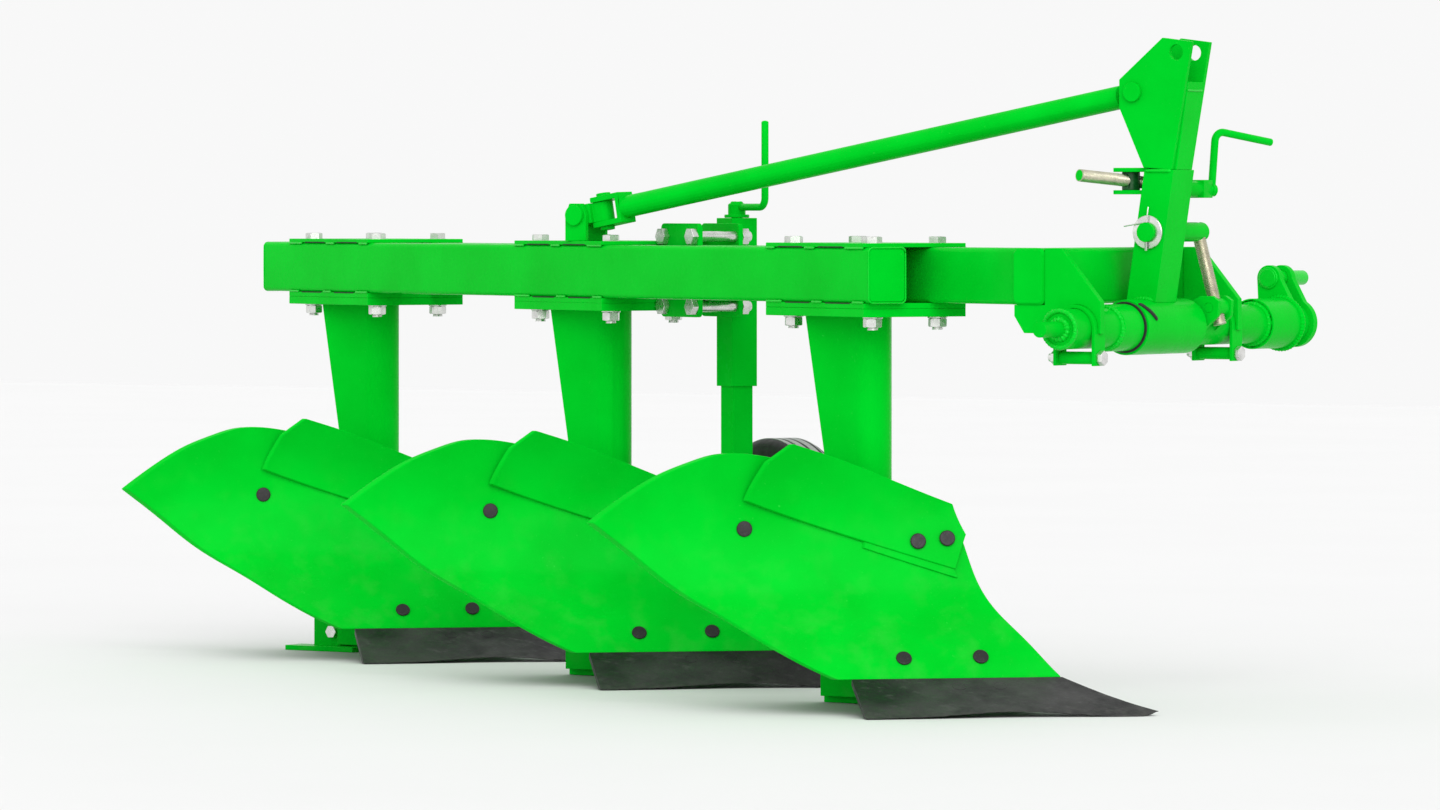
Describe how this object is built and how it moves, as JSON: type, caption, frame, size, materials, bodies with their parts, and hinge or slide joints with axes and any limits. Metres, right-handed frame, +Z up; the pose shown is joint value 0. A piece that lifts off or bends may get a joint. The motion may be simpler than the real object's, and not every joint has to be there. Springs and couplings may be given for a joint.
{
  "type": "plough",
  "caption": "Mounted mouldboard plough with shares, twisted boards, legs on oblique twin beams, cranked hitch axle, mast with strut, and a depth wheel on a screw",
  "frame": {"origin": "middle of the footprint, on the floor under the plough", "axes": "+X forward in the direction of travel, +Y to the left (the unploughed side), +Z up"},
  "size_m": [2.0986, 1.096, 0.964],
  "materials": {
    "green_paint": "gloss enamel",
    "black_paint": "satin, worn",
    "zinc": "zinc plated",
    "bolt_black": "satin",
    "seal_black": "matt",
    "wheel_black": "satin"
  },
  "bodies": {
    "frame": {"axle_straps": "green_paint", "beam_caps": "green_paint", "bracket_left": "green_paint", "bracket_right": "green_paint", "cross_beam": "green_paint", "frog_1": "green_paint", "frog_2": "green_paint", "frog_3": "green_paint", "heel_bolt": "zinc", "heel_foot": "green_paint", "landsides": "green_paint", "leg_1": "green_paint", "leg_2": "green_paint", "leg_3": "green_paint", "leg_bolts": "zinc", "lower_plates": "green_paint", "main_beam": "green_paint", "mast_plate_left": "green_paint", "mast_plate_right": "green_paint", "mast_post": "green_paint", "mast_sleeve": "green_paint", "mouldboard_1": "green_paint", "mouldboard_2": "green_paint", "mouldboard_3": "green_paint", "mouldboard_stays": "green_paint", "plough_bolts": "bolt_black", "screw_pin": "green_paint", "share_1": "black_paint", "share_2": "black_paint", "share_3": "black_paint", "side_beam": "green_paint", "sleeve_seal": "seal_black", "strap_bolts": "zinc", "strut": "green_paint", "strut_cross_block": "green_paint", "strut_lugs": "green_paint", "strut_pins": "green_paint", "swivel_ears": "green_paint", "swivel_nut": "green_paint", "trash_board_1": "green_paint", "trash_board_2": "green_paint", "trash_board_3": "green_paint", "upper_plates": "green_paint", "wheel_clamp": "green_paint", "wheel_clamp_bolts": "zinc", "wheel_tube": "green_paint"},
    "axle": {"cross_axle": "green_paint", "axle_crank": "green_paint", "hitch_pin_left": "green_paint", "hitch_pin_right": "green_paint"},
    "level_hanger": {"level_pin": "green_paint", "level_screw": "zinc", "pin_fastenings": "zinc"},
    "level_swivel": {"level_nut": "green_paint"},
    "upper_slide": {"screw_collar": "green_paint"},
    "upper_crank": {"upper_screw": "green_paint"},
    "crank": {"wheel_crank": "green_paint"},
    "wheel_slide": {"wheel_post": "green_paint", "wheel_axle": "green_paint"},
    "wheel": {"depth_wheel": "wheel_black"}
  },
  "joints": [
    {"name": "axle_turn", "type": "hinge", "parent": "frame", "child": "axle", "pos_m": [0.97083, -0.14625, 0.552], "axis": [0, 1, 0], "range_deg": [-7, 7]},
    {"name": "hanger_swing", "type": "hinge", "parent": "frame", "child": "level_hanger", "pos_m": [0.97883, -0.02025, 0.687], "axis": [0, 1, 0], "range_deg": [-6, 6]},
    {"name": "swivel_turn", "type": "hinge", "parent": "axle", "child": "level_swivel", "pos_m": [1.00883, -0.02025, 0.578], "axis": [0, 1, 0], "range_deg": [-20, 20]},
    {"name": "upper_travel", "type": "slide", "parent": "frame", "child": "upper_slide", "axis": [0.3687, 0.9256, -0.0863], "range_m": [0, 0.03]},
    {"name": "upper_crank_turn", "type": "hinge", "parent": "upper_slide", "child": "upper_crank", "pos_m": [0.97983, -0.01425, 0.749], "axis": [0.3687, 0.9256, -0.0863], "range_deg": [0, 1800]},
    {"name": "depth_crank_turn", "type": "hinge", "parent": "frame", "child": "crank", "pos_m": [0.09832, 0.10854, 0.712], "axis": [0, 0, 1], "range_deg": [-900, 4950]},
    {"name": "depth_travel", "type": "slide", "parent": "frame", "child": "wheel_slide", "axis": [0, 0, 1], "range_m": [-0.02, 0.11]},
    {"name": "wheel_spin", "type": "hinge", "parent": "wheel_slide", "child": "wheel", "pos_m": [0.13254, 0.18383, 0.204], "axis": [0.4138, 0.9104, 0], "continuous": true}
  ],
  "couplings": [
    {"joint": "hanger_swing", "follows": "axle_turn", "ratio": -0.13346},
    {"joint": "swivel_turn", "follows": "axle_turn", "ratio": -1.1335},
    {"joint": "upper_crank_turn", "follows": "upper_travel", "rad_per_m": 1047.2},
    {"joint": "depth_crank_turn", "follows": "depth_travel", "rad_per_m": 785.39}
  ]
}
